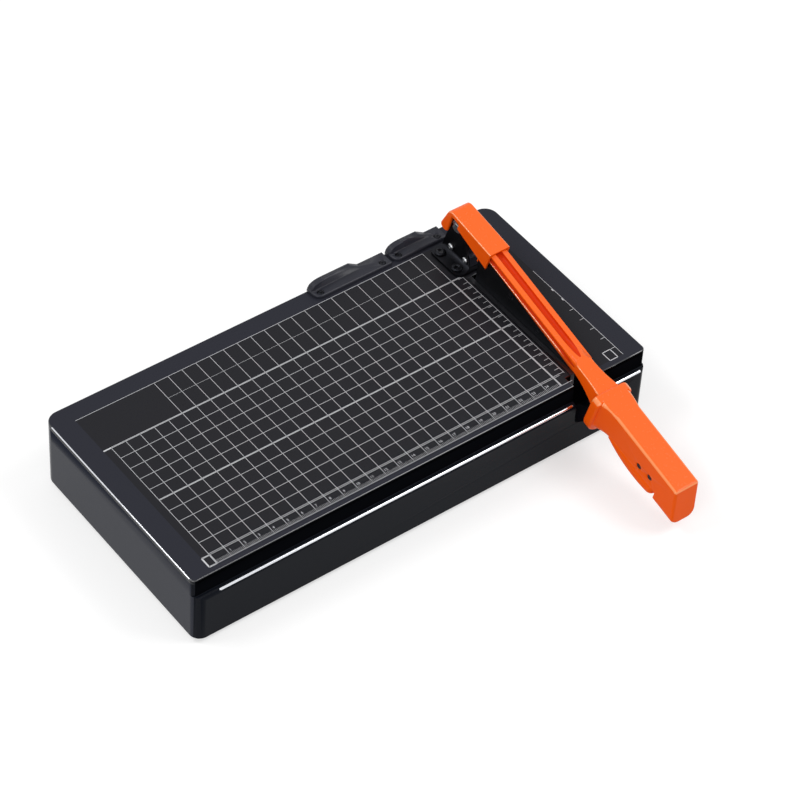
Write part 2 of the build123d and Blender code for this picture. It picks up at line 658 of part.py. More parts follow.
# Moulded block that keeps the ears apart, held by two screws through the left ear
with BuildPart() as hinge_block:
    with BuildSketch(Plane.XY.offset(table_z + FOOT_T)):
        with Locations((arm_x, hinge_y + (BLOCK_REAR - BLOCK_FRONT) / 2)):
            Rectangle(2 * (EAR_IN - FIT), BLOCK_REAR + BLOCK_FRONT)
    extrude(amount=BLOCK_H)
    fillet(hinge_block.edges().filter_by(Axis.X).group_by(Axis.Z)[-1], BLOCK_R)
    for seat in block_seats:
        with BuildSketch(seat):
            Circle(SMALL_D / 2 + FIT)
        extrude(amount=-ear_out, mode=Mode.SUBTRACT)
save(hinge_block.part, "hinge_block")

for number, seat in enumerate(block_seats, 1):
    screw = pan_screw(seat, block_screw_l, SMALL_D, SMALL_HEAD_D, SMALL_HEAD_H)
    save(screw, f"hinge_block_screw_{number}")

# Pin with a flat head on the right and a groove for its clip on the left
clip_at = ear_out + SPRING_H + FIT
pin_end = clip_at + CLIP_T + PIN_TIP
with BuildPart() as hinge_pin:
    with BuildSketch(across.offset(-pin_end)):
        Circle(PIN_D / 2)
    extrude(amount=pin_end + ear_out)
    with BuildSketch(across.offset(ear_out)):
        Circle(PIN_HEAD_D / 2)
    extrude(amount=PIN_HEAD_T)
    chamfer(hinge_pin.faces().sort_by(Axis.X)[-1].edges(), PIN_CHAMFER)
    with BuildSketch(across.offset(-clip_at - CLIP_T)):
        Circle(PIN_D)
        Circle(GROOVE_D / 2, mode=Mode.SUBTRACT)
    extrude(amount=CLIP_T, mode=Mode.SUBTRACT)
save(hinge_pin.part, "hinge_pin")

with BuildPart() as pin_clip:
    with BuildSketch(across.offset(-clip_at - CLIP_T + RUN)):
        Circle(CLIP_D / 2)
        Circle(GROOVE_D / 2 + RUN, mode=Mode.SUBTRACT)
        with Locations((CLIP_D / 2, 0)):
            Rectangle(CLIP_D, CLIP_MOUTH, mode=Mode.SUBTRACT)
    extrude(amount=CLIP_T - 2 * RUN)
save(pin_clip.part, "pin_clip")

# Dished washer that draws the moving blade against the fixed one
with BuildPart() as spring_washer:
    with BuildSketch(Plane(origin=pin_centre, x_dir=(-1, 0, 0), z_dir=(0, 1, 0))):
        with BuildLine():
            rim = ear_out + RUN
            crown = ear_out + SPRING_H - SPRING_T
            Polyline((rim, CLIP_D / 2), (crown, PIN_D / 2 + FIT), (crown + SPRING_T, PIN_D / 2 + FIT),
                     (rim + SPRING_T, CLIP_D / 2), close=True)
        make_face()
    revolve(axis=Axis(pin_centre, (1, 0, 0)))
save(spring_washer.part, "spring_washer")

for name, offset in (("left", -EAR_IN + RUN / 2), ("right", EAR_IN - WASHER_T - RUN / 2)):
    with BuildPart() as thrust_washer:
        with BuildSketch(across.offset(offset)):
            Circle(EAR_R - SEAT)
            Circle(PIN_D / 2 + RUN, mode=Mode.SUBTRACT)
        extrude(amount=WASHER_T)
    save(thrust_washer.part, f"{name}_thrust_washer")

with BuildPart() as hinge_bush:
    with BuildSketch(across):
        Circle(BUSH_D / 2)
        Circle(PIN_D / 2 + RUN, mode=Mode.SUBTRACT)
    extrude(amount=KNUCKLE_W / 2, both=True)
save(hinge_bush.part, "hinge_bush")

# Hinge cover: a moulded cap, open below and at the front
with BuildPart() as hinge_cover:
    with BuildSketch(side) as outline:
        with BuildLine():
            back_top = (COVER_REAR, cover_line(COVER_REAR, 0))
            Polyline((COVER_FRONT, cover_line(COVER_FRONT, 0)), back_top, (LOBE_REAR, LOBE_LOW),
                     (NOTCH_REAR, LOBE_LOW), (NOTCH_REAR, NOTCH_TOP), (NOTCH_FRONT, NOTCH_TOP),
                     (NOTCH_FRONT, COVER_LOW_REAR), (COVER_FRONT, COVER_LOW_FRONT), close=True)
        make_face()
        fillet(outline.vertices().group_by(Axis.Y)[0], LOBE_R)
        fillet(outline.vertices().sort_by_distance(back_top)[0], COVER_BACK_R)
    extrude(amount=COVER_W / 2, both=True)
    top_face = hinge_cover.faces().sort_by(Axis.Z)[-1]
    fillet(top_face.edges().filter_by(Axis.X, reverse=True), COVER_EDGE_R)
    inner_rear = COVER_REAR + COVER_T
    inner_front = COVER_FRONT + COVER_T
    with BuildSketch(side) as hollow:
        with BuildLine():
            inner_top = (inner_rear, cover_line(inner_rear, COVER_T))
            Polyline(inner_top, (inner_front, cover_line(inner_front, COVER_T)),
                     (inner_front, LOBE_LOW - COVER_T), (LOBE_REAR - COVER_T, LOBE_LOW - COVER_T),
                     (LOBE_REAR - COVER_T, BACK_WALL_LOW), (inner_rear, BACK_WALL_LOW), close=True)
        make_face()
        fillet(hollow.vertices().sort_by_distance(inner_top)[0], COVER_BACK_R - COVER_T)
    extrude(amount=cover_in, both=True, mode=Mode.SUBTRACT)
    for seat in cover_seats:
        with BuildSketch(seat):
            Circle(SMALL_D / 2 + FIT)
        extrude(amount=-2 * COVER_T, mode=Mode.SUBTRACT)
save(hinge_cover.part, "hinge_cover")

for number, seat in enumerate(cover_seats, 1):
    screw = pan_screw(seat, COVER_SCREW_L, SMALL_D, SMALL_HEAD_D, SMALL_HEAD_H)
    save(screw, f"hinge_cover_screw_{number}")


def handle_end_at(rise):
    """Distance along the arm to the end face, which stands upright when the arm is closed."""
    return handle_end - rise * tan(radians(pitch))


def tongue(clearance):
    """Block that keys the grip into the handle, grown by a clearance."""
    rear = flare_end + TONGUE_INSET - clearance
    width = HANDLE_W - 2 * HANDLE_WALL - 2 * FIT + 2 * clearance
    with BuildPart() as block:
        extrude(section(rear, width, HANDLE_SEAM - RIDGE_R, TONGUE_TOP + clearance, EDGE_R, SEAT),
                amount=pommel_at - SEAT - FIT + clearance - rear)
    return block.part


def round_groove(start, end, radius):
    """Round cutter between two points of the arm, given as along, up and left; it runs on past the end."""
    first = side.from_local_coords(Vector(*start))
    last = side.from_local_coords(Vector(*end))
    with BuildPart() as cutter:
        with BuildSketch(Plane(origin=first, z_dir=last - first)):
            Circle(radius)
        extrude(amount=(last - first).length + GROOVE_OVERRUN)
    return cutter.part


# Handle and pommel: a rounded bar trimmed to its side view, open below for the grip
with BuildPart() as handle:
    extrude(section(flare_end, HANDLE_W, POMMEL_LOW, HANDLE_TOP, HANDLE_TOP_R, HANDLE_LOW_R),
            amount=handle_end_at(POMMEL_LOW) - flare_end)
    with BuildSketch(side) as outline:
        with BuildLine():
            heel = (pommel_at, POMMEL_LOW)
            crook = (pommel_at, HANDLE_SEAM)
            Polyline((flare_end, HANDLE_TOP), (handle_end_at(HANDLE_TOP), HANDLE_TOP),
                     (handle_end_at(POMMEL_LOW), POMMEL_LOW), heel, crook, (flare_end, HANDLE_SEAM),
                     close=True)
        make_face()
        for corner, radius in ((heel, POMMEL_R), (crook, RIDGE_R)):
            fillet(outline.vertices().sort_by_distance(corner)[0], radius)
    extrude(amount=HANDLE_W, both=True, mode=Mode.INTERSECT)
    fillet(handle.faces().sort_by(Axis.Y)[0].edges(), HANDLE_EDGE_R)
    add(tongue(FIT), mode=Mode.SUBTRACT)
    with Locations(*handle_seats):
        CounterBoreHole(SMALL_D / 2 + FIT, SMALL_HEAD_D / 2 + FIT, handle_sink, depth=HANDLE_WALL + FIT)

# Straight bar of the arm, with its two long top edges rounded
with BuildPart() as bar:
    bar_rear = SADDLE_END - COVER_T
    with BuildSketch(side):
        with BuildLine():
            Polyline((bar_rear, flange_at(bar_rear)), (widen_start, FLANGE_FRONT), (widen_start, ARM_TOP),
                     (bar_rear, ARM_TOP), close=True)
        make_face()
    extrude(amount=ARM_W / 2, both=True)
    top_face = bar.faces().sort_by(Axis.Z)[-1]
    fillet(top_face.edges().filter_by(Axis.X, reverse=True), RIDGE_R)

# Arm: one moulding from the knuckle on the pin to the pommel
with BuildPart() as blade_arm:
    # Guard across the front, run into the handle by a hollow flare
    extrude(section(guard_at, GUARD_W, GUARD_LOW, HANDLE_TOP, GUARD_TOP_R, GUARD_LOW_R), amount=GUARD_T)
    rims = blade_arm.faces().sort_by(Axis(pin_centre, along))
    fillet(rims[0].edges() + rims[-1].edges(), GUARD_EDGE_R)
    flare_w = GUARD_W - 2 * GUARD_EDGE_R
    flare_mid = flare_at + FLARE_L * FLARE_MID
    flare = [section(flare_at, flare_w, GUARD_LOW + EDGE_R, HANDLE_TOP, GUARD_TOP_R, GUARD_LOW_R),
             section(flare_mid, FLARE_MID_W, FLARE_MID_LOW, HANDLE_TOP, HANDLE_TOP_R,
                     HANDLE_LOW_R + RIDGE_R),
             section(flare_end, HANDLE_W, GRIP_ENDS, HANDLE_TOP, HANDLE_TOP_R, HANDLE_LOW_R)]
    loft(sections=flare)
    add(handle.part)
    # Straight bar, widened towards the guard
    add(bar.part)
    widening = [section(widen_start, ARM_W, FLANGE_FRONT, ARM_TOP, RIDGE_R, EDGE_R),
                section(widen_mid, WIDEN_MID_W, WIDEN_MID_LOW, WIDEN_MID_TOP, RIDGE_R, EDGE_R),
                section(guard_at + GUARD_EDGE_R, WIDEN_W, WIDEN_LOW, WIDEN_TOP, RIDGE_R, EDGE_R)]
    loft(sections=widening)
    top_deep = ARM_TOP + GROOVE_R - GROOVE_DEPTH
    top_line = [(SADDLE_END, top_deep, 0), (groove_end - GROOVE_FADE, top_deep, 0),
                (groove_end, ARM_TOP + GROOVE_R, 0)]
    for start, end in zip(top_line, top_line[1:]):
        add(round_groove(start, end, GROOVE_R), mode=Mode.SUBTRACT)
    for hand in (-1, 1):
        side_deep = hand * (ARM_W / 2 + SIDE_R - SIDE_DEPTH)
        side_line = [(SADDLE_END, SIDE_RISE, side_deep),
                     (side_groove_end - GROOVE_FADE, SIDE_RISE, side_deep),
                     (side_groove_end, SIDE_RISE, hand * (ARM_W / 2 + SIDE_R))]
        for start, end in zip(side_line, side_line[1:]):
            add(round_groove(start, end, SIDE_R), mode=Mode.SUBTRACT)
    # Rib beside the blade
    with BuildSketch(blade_face.offset(-BLADE_T)):
        with BuildLine():
            Polyline((blade_rear_at, flange_at(blade_rear_at) + EDGE_R),
                     (blade_rear_at, skirt_at(blade_rear_at)), (blade_front, skirt_at(blade_front)),
                     (blade_front, flange_at(blade_front) + EDGE_R), close=True)
        make_face()
    extrude(amount=-SKIRT_T)
    # Saddle inside the hinge cover, and the web and knuckle between the ears
    with BuildSketch(side):
        with BuildLine():
            Polyline((ARM_START, flange_at(ARM_START)), (SADDLE_END, flange_at(SADDLE_END)),
                     (SADDLE_END, cover_line(SADDLE_END, COVER_T + FIT)),
                     (ARM_START, cover_line(ARM_START, COVER_T + FIT)), close=True)
        make_face()
    extrude(amount=cover_in - FIT, both=True)
    with BuildSketch(side):
        with BuildLine():
            Polyline((0, -EAR_R), (SADDLE_END, WEB_LOW), (SADDLE_END, WEB_TOP), (0, EAR_R), close=True)
        make_face()
        Circle(EAR_R)
    extrude(amount=KNUCKLE_W / 2, both=True)
    with BuildSketch(side):
        Circle(BUSH_D / 2 + RUN / 2)
    extrude(amount=KNUCKLE_W, both=True, mode=Mode.SUBTRACT)
    for seats, depth in ((cover_seats, COVER_SCREW_L + SEAT), (blade_seats, BLADE_T + SKIRT_T)):
        for seat in seats:
            with BuildSketch(seat):
                Circle(SMALL_D / 2 + FIT)
            extrude(amount=-depth, mode=Mode.SUBTRACT)
save(blade_arm.part, "blade_arm")

# Moving blade: deep at the hinge, so that it crosses the table at a slant as the arm comes down
with BuildPart() as moving_blade:
    nose = side.from_local_coords(Vector(blade_front, 0, 0))
    low_rear = side.to_local_coords(Vector(arm_x, hinge_y - BLADE_REAR, table_z - BLADE_DIP_REAR))
    low_front = side.to_local_coords(Vector(arm_x, nose.Y, table_z - BLADE_DIP_FRONT))
    with BuildSketch(blade_face):
        with BuildLine():
            Polyline((blade_rear_at, flange_at(blade_rear_at) - RUN),
                     (blade_front, flange_at(blade_front) - RUN), (low_front.X, low_front.Y),
                     (low_rear.X, low_rear.Y), close=True)
        make_face()
    extrude(amount=-BLADE_T)
    right_face = moving_blade.faces().sort_by(Axis.X)[-1]
    chamfer(right_face.edges().sort_by(Axis.Z)[0], BEVEL_H, BEVEL_W, reference=right_face)
    with Locations(*blade_seats):
        CounterSinkHole(SMALL_D / 2 + FIT, SMALL_HEAD_D / 2 + FIT, counter_sink_angle=CSK_ANGLE)
save(moving_blade.part, "moving_blade")

for number, seat in enumerate(blade_seats, 1):
    save(countersunk_screw(seat, blade_screw_l, SMALL_D, SMALL_HEAD_D), f"moving_blade_screw_{number}")

# Grip: a full-bellied insert under the handle, keyed into it and held by two screws from the left
with BuildPart() as handle_grip:
    seam = HANDLE_SEAM - FIT
    with BuildSketch(side) as outline:
        with BuildLine():
            belly = ThreePointArc((flare_end + FIT, GRIP_ENDS), (grip_full, GRIP_LOW), (grip_front, GRIP_TIP))
            Polyline(belly @ 1, (grip_front, seam), (flare_end + FIT, seam), belly @ 0)
        make_face()
        fillet(outline.vertices().sort_by_distance((grip_front, GRIP_TIP))[0], GRIP_TIP_R)
    extrude(amount=HANDLE_W / 2, both=True)
    low_face = handle_grip.faces().sort_by(Axis.Z)[0]
    fillet(low_face.edges().filter_by(Axis.X, reverse=True), GRIP_EDGE_R)
    add(tongue(0))
    for seat in handle_seats:
        with BuildSketch(seat):
            Circle(SMALL_D / 2 + FIT)
        extrude(amount=-(handle_sink + handle_screw_l + SEAT), mode=Mode.SUBTRACT)
save(handle_grip.part, "handle_grip")

for number, seat in enumerate(handle_seats, 1):
    screw = pan_screw(seat.offset(-handle_sink), handle_screw_l, SMALL_D, SMALL_HEAD_D, SMALL_HEAD_H)
    save(screw, f"handle_screw_{number}")
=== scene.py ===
"""Looks of a small desk guillotine: moulded base, printed table, orange arm and steel parts."""

import json
from math import cos, hypot, radians, sin

import bpy
from mathutils import Matrix, Vector

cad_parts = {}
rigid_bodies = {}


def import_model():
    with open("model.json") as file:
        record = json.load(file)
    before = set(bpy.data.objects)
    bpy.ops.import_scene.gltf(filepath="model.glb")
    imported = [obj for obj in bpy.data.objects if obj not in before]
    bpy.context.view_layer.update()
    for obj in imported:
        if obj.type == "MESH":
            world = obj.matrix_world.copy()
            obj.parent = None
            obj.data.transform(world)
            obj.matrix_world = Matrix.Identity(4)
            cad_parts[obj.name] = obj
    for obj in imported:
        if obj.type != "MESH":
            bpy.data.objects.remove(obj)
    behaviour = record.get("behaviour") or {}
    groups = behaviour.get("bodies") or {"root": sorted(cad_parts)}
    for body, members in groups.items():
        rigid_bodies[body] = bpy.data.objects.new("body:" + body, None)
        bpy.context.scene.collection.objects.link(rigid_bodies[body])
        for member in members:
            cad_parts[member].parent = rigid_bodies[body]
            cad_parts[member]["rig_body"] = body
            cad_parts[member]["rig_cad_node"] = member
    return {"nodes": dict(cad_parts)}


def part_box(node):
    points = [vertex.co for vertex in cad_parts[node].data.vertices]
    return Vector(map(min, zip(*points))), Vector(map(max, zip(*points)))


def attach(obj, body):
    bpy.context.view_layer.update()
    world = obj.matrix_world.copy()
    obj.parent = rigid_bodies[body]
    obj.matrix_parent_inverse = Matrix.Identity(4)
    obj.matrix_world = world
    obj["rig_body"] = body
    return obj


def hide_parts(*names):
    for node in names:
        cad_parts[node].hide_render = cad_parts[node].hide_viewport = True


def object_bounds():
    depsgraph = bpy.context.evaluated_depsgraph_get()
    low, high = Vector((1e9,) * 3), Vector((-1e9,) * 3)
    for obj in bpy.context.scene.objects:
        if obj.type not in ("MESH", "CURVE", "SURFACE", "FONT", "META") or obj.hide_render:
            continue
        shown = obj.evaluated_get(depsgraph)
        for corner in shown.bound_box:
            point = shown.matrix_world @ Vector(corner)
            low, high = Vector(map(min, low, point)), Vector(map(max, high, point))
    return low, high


bl_info = {
    "name": "Paper Cutter",
    "version": (1, 0, 0),
    "blender": (4, 5, 0),
    "location": "View3D > Sidebar > Paper Cutter",
    "description": "Finishes, table print and studio for a desk guillotine",
    "category": "Object",
}

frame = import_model()
CAD_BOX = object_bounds()
MM = 0.001
SMOOTH_ANGLE = radians(32)
MERGE_DISTANCE = 0.0001 * MM

# Table, and the step along the front of the shell
PLATE_LOW, PLATE_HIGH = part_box("table_plate")
TABLE_TOP = PLATE_HIGH.z
FIXED_BLADE_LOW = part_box("fixed_blade")[0]
SHELL_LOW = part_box("base_shell")[0]
STEP_DROP = 13 * MM
LIP_RADIUS = 3 * MM

# Painted highlights, drawn as bright metal strips: their place round the lip, the shares of their
# radius that their axes lie under the lip and inside the table's edge, and the bare ends of that
# edge
HIGHLIGHT_STRIP_TILT = radians(50)
HIGHLIGHT_STRIP_SUNK = 0.73
EDGE_HIGHLIGHT_INSET = 1.03
EDGE_HIGHLIGHT_FRONT = 3.4 * MM
EDGE_HIGHLIGHT_REAR = 9.5 * MM
STRIP_SIDES = 24
STRIP_END = 0.9
STRIP_END_STEPS = 6
STRIP_END_ANGLE = radians(60)

# Table's print: shares of the scales' depths, of the pitch and of the figures' height
BLADE_MARGIN = 2 * MM
BOLD_ROW = 5
FRONT_TICK = 0.35
CUT_TICK = 0.45
DECK_TICK = 0.4
DECK_TICKS = 5
DECK_MARK = 0.6
FIGURE_SHIFT = 0.8
FIGURE_RISE = 0.45

# Closed arm, measured from the hinge pin, square to the bar and across it
HINGE_PIN = sum(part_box("hinge_bush"), Vector()) / 2
ARM_PITCH = radians(14.5)
ARM_UP = Vector((0, -sin(ARM_PITCH), cos(ARM_PITCH)))
BAR_TOP = 11 * MM
BAR_HALF = 5.85 * MM
TOP_GROOVE_HALF = 2.4 * MM
TOP_GROOVE_DEPTH = 2.2 * MM
SIDE_GROOVE_RISE = 7.6 * MM
SIDE_GROOVE_HALF = 2 * MM
SIDE_GROOVE_DEPTH = 1.4 * MM
GROOVE_RIM = 0.2 * MM
HANDLE_END = 8 * MM

# Parts of a face's unit normal, along an axis, that tell walls, tops and rounded edges apart
SQUARE_ON = 0.9
WALL_TILT = 0.15
FLAT_TILT = 0.95
ARM_TOP_TILT = 0.85
ARM_EDGE_RISE = 0.3
ARM_EDGE_TURN = (0.35, 0.92)
HANDLE_END_RISE = (0.15, 0.8)

# Cross recess of a screw one millimetre in radius, and its share of a head's radius
CROSS_CORE = 0.2 * MM
CROSS_LENGTH = 0.9 * MM
CROSS_WING = 0.42 * MM
CROSS_TAPER = 0.45
CROSS_FILL = 0.95
HEAD_RIM = 0.9

# Grain in millimetres along X, Y and Z, and relief in millimetres
ABS_GRAIN = (0.6, 0.6, 0.6)
ORANGE_GRAIN = (2.5, 2.5, 2.5)
POLISHED_GRAIN = (2, 2, 2)
ABS_RELIEF = 0.0005
POLISHED_RELIEF = 0.0002


def linear(hex_colour):
    """sRGB hex value as the linear channels that a shader takes."""
    channels = [int(hex_colour[i:i + 2], 16) / 255 for i in (1, 3, 5)]
    return [c / 12.92 if c <= 0.04045 else ((c + 0.055) / 1.055) ** 2.4 for c in channels]


def colour_property(name, description, hex_colour):
    return bpy.props.FloatVectorProperty(
        name=name, description=description, subtype="COLOR", size=3, min=0, max=1,
        default=linear(hex_colour))


def length_property(name, description, millimetres):
    return bpy.props.FloatProperty(
        name=name, description=description, subtype="DISTANCE", unit="LENGTH", min=0,
        default=millimetres * MM)


class CutterColours(bpy.types.PropertyGroup):
    """Colours of the cutter's finishes."""

    case: colour_property("Case", "Moulded walls of the base", "#0f1219")
    border: colour_property("Border", "Smooth border of the table, and the paper stops", "#2a2b33")
    panel: colour_property("Panel", "Ground colour of the printed panel", "#232327")
    ink: colour_property("Ink", "Screen-printed lines and numbers", "#cacbce")
    arm: colour_property("Arm", "Arm, hinge cover and grip", "#fc5e0c")
    rubber: colour_property("Rubber", "Feet and buffer", "#1c1c1c")
    # Painted reflection: a paler, bluer black for the end walls, standing in for the floor they
    # mirror.
    ends: colour_property("Ends", "Smooth walls at the ends of the base", "#191d2a")
    # Painted light: a paler, yellower orange for the upper faces, where light falls.
    top: colour_property("Top", "Polished upper faces of the arm and hinge cover", "#fc660f")
    # Painted highlight: a paler orange for the rounded upper edges.
    edge: colour_property("Edge", "Worn edges of the arm and hinge cover", "#ff8c46")
    # Painted shade: a darker, redder orange for the grooves along the arm.
    groove: colour_property("Groove", "Grooves along the arm", "#d63603")
    floor: colour_property("Floor", "Studio floor", "#c8c8c8")


class CutterSizes(bpy.types.PropertyGroup):
    """Sizes of the table's print and of the bright strips that paint highlights."""

    pitch: length_property("Pitch", "Grid square", 10)
    thin: length_property("Thin line", "Width of a grid line", 0.27)
    bold: length_property("Bold line", "Width of a reference line", 0.95)
    ink: length_property("Ink", "Thickness of the printed ink", 0.04)
    left: length_property("Left margin", "Left edge of the table to the grid", 19.8)
    rear: length_property("Rear margin", "Rear edge of the table to the rear line", 13.2)
    front: length_property("Front margin", "Front edge of the table to the front line", 4.4)
    side: length_property("Side margin", "Ends of the table to the printed panel", 14.5)
    deck: length_property("Deck line", "Rear edge of the table to the line right of the cut", 64)
    cut_scale: length_property("Cut scale", "Width of the scale along the cut", 8)
    band: length_property("Rear band", "Depth of the rear band of double squares", 30)
    bare: length_property("Bare corner", "Length of the rear band left bare", 58)
    scale: length_property("Scale", "Depth of the front scale", 7.6)
    figure: length_property("Figure", "Height of the scale's numbers", 2.6)
    # The strips below are painted highlights: bright metal stand-ins for the lines of light on the
    # lip of the front step and on the table's left edge.
    trim: length_property("Trim", "Radius of the bright strips on the front step", 1.1)
    trim_left: length_property("Trim start", "Left end of the table to the strip", 16.5)
    trim_right: length_property("Trim end", "End of the strip to the fixed blade", 5.5)
    trim_past: length_property("Second trim", "Fixed blade to the strip right of the slot", 19.5)
    trim_corner: length_property("Second trim end", "End of the strip to the end of the table", 4.5)
    edge_trim: length_property("Edge trim", "Radius of the strip on the table's left edge", 0.45)


def add_node(tree, kind, sockets=None, **settings):
    """Adds a node, sets its properties, and gives its sockets values or other nodes' outputs."""
    node = tree.nodes.new(kind)
    for name, value in settings.items():
        setattr(node, name, value)
    for name, value in (sockets or {}).items():
        if isinstance(value, bpy.types.NodeSocket):
            tree.links.new(value, node.inputs[name])
        else:
            node.inputs[name].default_value = value
    return node


def surface(name, colour, roughness, grain, relief, spread=0.04, metallic=0.0, specular=0.3):
    """Finish whose roughness and relief follow a grain of the given sizes in millimetres."""
    material = bpy.data.materials.get(name)
    if material:
        return material
    material = bpy.data.materials.new(name)
    material.use_nodes = True
    tree = material.node_tree
    tree.nodes.clear()
    place = add_node(tree, "ShaderNodeTexCoord")
    turned = add_node(tree, "ShaderNodeMapping", {
        "Vector": place.outputs["Object"], "Scale": [1 / (size * MM) for size in grain]})
    speckle = add_node(tree, "ShaderNodeTexNoise", {
        "Vector": turned.outputs["Vector"], "Scale": 1.0, "Detail": 3.0, "Roughness": 0.6})
    gloss = add_node(tree, "ShaderNodeMapRange", {
        "Value": speckle.outputs["Fac"], "From Min": 0.3, "From Max": 0.7,
        "To Min": roughness - spread, "To Max": roughness + spread})
    bump = add_node(tree, "ShaderNodeBump", {
        "Height": speckle.outputs["Fac"], "Strength": 0.5, "Distance": relief * MM})
    shader = add_node(tree, "ShaderNodeBsdfPrincipled", {
        "Base Color": (*colour, 1), "Metallic": metallic, "Specular IOR Level": specular,
        "Roughness": gloss.outputs["Result"], "Normal": bump.outputs["Normal"]})
    add_node(tree, "ShaderNodeOutputMaterial", {"Surface": shader.outputs["BSDF"]})
    return material


def colours():
    return bpy.context.scene.cutter_colours


def black_abs():
    # Moulded ABS with a fine spark-eroded texture: near black, pale only at a low angle.
    # The real texture is about 0.1 mm, and it is drawn coarser so that it shows.
    return surface("moulded_black_abs", colours().case, roughness=0.22, grain=ABS_GRAIN,
                   relief=ABS_RELIEF, specular=0.05)


def grey_black_abs():
    # The same moulding with a smoother, slightly paler skin.
    return surface("smooth_black_abs", colours().border, roughness=0.3, grain=ABS_GRAIN,
                   relief=ABS_RELIEF, specular=0.2)


def end_abs():
    # Painted reflection: the end walls of the base are a paler, bluish black that stands in for the
    # floor they mirror; they are also smoother than the front.
    return surface("painted_reflection_end_walls", colours().ends, roughness=0.2, grain=ABS_GRAIN,
                   relief=ABS_RELIEF, specular=0.1)


def dull_abs():
    # Painted shade: the set-back faces of the step, where shade falls, are a darker black with no
    # gloss.
    return surface("painted_shade_black_abs", linear("#08090c"), roughness=0.8, grain=ABS_GRAIN,
                   relief=0.002, specular=0.0)


def edge_abs():
    # Rounded edge, polished by the mould: black with a sharp line of light.
    return surface("polished_black_edge", colours().case, roughness=0.14, grain=POLISHED_GRAIN,
                   relief=POLISHED_RELIEF, specular=1.0)


def bright_trim():
    # Painted highlight: a pale, polished metal strip standing in for a line of light on a rounded
    # edge; it mirrors what stands round it.
    return surface("painted_highlight_plated_strip", linear("#dfe1e6"), roughness=0.12, grain=POLISHED_GRAIN,
                   relief=POLISHED_RELIEF, spread=0.02, metallic=1.0)


def printed_abs():
    # Smooth moulded border round a matt printed panel, which is a little darker.
    material = surface("matt_printed_table", colours().border, roughness=0.3, grain=ABS_GRAIN,
                       relief=ABS_RELIEF, specular=0.08)
    sizes = bpy.context.scene.cutter_sizes
    tree = material.node_tree
    place = add_node(tree, "ShaderNodeTexCoord")
    axes = add_node(tree, "ShaderNodeSeparateXYZ", {"Vector": place.outputs["Object"]})
    edges = (("X", "GREATER_THAN", PLATE_LOW.x + sizes.side),
             ("X", "LESS_THAN", PLATE_HIGH.x - sizes.side),
             ("Y", "GREATER_THAN", PLATE_LOW.y + sizes.front),
             ("Y", "LESS_THAN", PLATE_HIGH.y - sizes.rear))
    inside = 1.0
    for axis, test, edge in edges:
        beyond = add_node(tree, "ShaderNodeMath", {0: axes.outputs[axis], 1: edge}, operation=test)
        inside = add_node(tree, "ShaderNodeMath", {0: inside, 1: beyond.outputs["Value"]},
                          operation="MULTIPLY").outputs["Value"]
    shade = add_node(tree, "ShaderNodeMix", data_type="RGBA")
    border, panel = [socket for socket in shade.inputs if socket.type == "RGBA"]
    border.default_value = (*colours().border, 1)
    panel.default_value = (*colours().panel, 1)
    tree.links.new(inside, shade.inputs["Factor"])
    mixed = [socket for socket in shade.outputs if socket.type == "RGBA"][0]
    tree.links.new(mixed, tree.nodes["Principled BSDF"].inputs["Base Color"])
    return material


def white_ink():
    # Screen-printed ink: flat pale grey with no gloss.
    return surface("screen_printed_ink", colours().ink, roughness=0.6, grain=(0.5, 0.5, 0.5),
                   relief=0.002)


def orange_abs():
    # Satin sides of the orange ABS mouldings.
    return surface("satin_orange_abs", colours().arm, roughness=0.35, grain=ORANGE_GRAIN,
                   relief=POLISHED_RELIEF, specular=0.06)


def orange_top():
    # Painted light: the upper faces of the same mouldings are a paler, yellower orange, where light
    # falls; they are also polished, so that they mirror the pale room a little.
    return surface("painted_light_orange_abs", colours().top, roughness=0.25, grain=ORANGE_GRAIN,
                   relief=POLISHED_RELIEF, specular=0.4)


def orange_edge():
    # Painted highlight: the rounded upper edges are a paler orange, with a glossier finish that
    # gives a sharp line of light.
    return surface("painted_highlight_orange_rim", colours().edge, roughness=0.15, grain=ORANGE_GRAIN,
                   relief=POLISHED_RELIEF, specular=0.8)


def orange_groove():
    # Painted shade: the bottoms of the grooves, which only orange light reaches, are a deeper,
    # redder orange.
    return surface("painted_shade_groove_orange", colours().groove, roughness=0.35, grain=ORANGE_GRAIN,
                   relief=POLISHED_RELIEF, specular=0.1)


def ground_steel():
    # Surface-ground tool steel: bright, with fine lines along the blade.
    return surface("ground_tool_steel", linear("#4a4b4f"), roughness=0.34, grain=(0.5, 14, 0.5),
                   relief=0.002, spread=0.08, metallic=1.0)


def dark_steel():
    # Blackened steel: dark grey metal with a dull oxide skin.
    return surface("blackened_steel", linear("#232428"), roughness=0.42, grain=(0.8, 0.8, 0.8),
                   relief=0.002, spread=0.08, metallic=1.0)


def plated_steel():
    # Zinc-plated steel: pale grey metal, slightly blurred.
    return surface("zinc_plated_steel", linear("#b7b9bc"), roughness=0.32, grain=(0.7, 0.7, 0.7),
                   relief=0.004, spread=0.06, metallic=1.0)


def bronze():
    # Sintered bronze: brown metal with fine pores.
    return surface("sintered_bronze", linear("#a97b4a"), roughness=0.45, grain=(0.3, 0.3, 0.3),
                   relief=0.01, spread=0.08, metallic=1.0)


def nylon():
    # Natural nylon: milky white with a dull sheen.
    return surface("natural_nylon", linear("#d9d6cc"), roughness=0.45, grain=(0.8, 0.8, 0.8),
                   relief=0.004)


def rubber():
    # Moulded rubber: black, dull and slightly grainy.
    return surface("moulded_rubber", colours().rubber, roughness=0.75, grain=(0.5, 0.5, 0.5),
                   relief=0.02)


def only(obj):
    """Makes one object the whole selection."""
    bpy.ops.object.select_all(action="DESELECT")
    obj.select_set(True)
    bpy.context.view_layer.objects.active = obj
    return obj


def paint(obj, material):
    obj.data.materials.clear()
    obj.data.materials.append(material)


